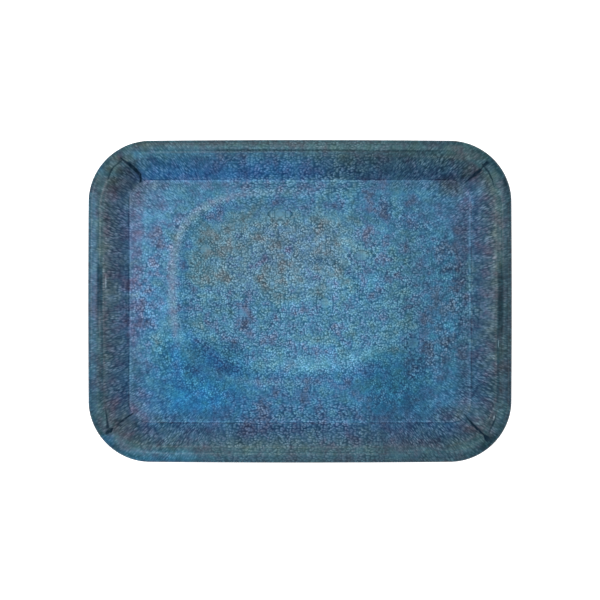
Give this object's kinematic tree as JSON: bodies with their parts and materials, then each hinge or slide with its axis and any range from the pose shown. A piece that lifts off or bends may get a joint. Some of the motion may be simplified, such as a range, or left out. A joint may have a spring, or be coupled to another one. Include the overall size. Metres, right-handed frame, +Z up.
{
  "type": "serving tray",
  "caption": "Shallow rectangular serving tray with rounded corners, sloping walls, a grooved rim with a rolled edge, and an all-over printed mosaic pattern.",
  "frame": {"origin": "middle of the flat underside, on the surface that the tray stands on", "axes": "X along the length, Y along the width, Z up through the open face"},
  "size_m": [0.42, 0.32, 0.028],
  "materials": {
    "enamel": "satin enamel on pressed tinplate",
    "print": "gloss varnish over a blue mosaic print",
    "wire": "plain drawn wire"
  },
  "bodies": {
    "root": {"tray_pan": "enamel", "printed_film": "print", "edge_wire": "wire"}
  },
  "joints": []
}
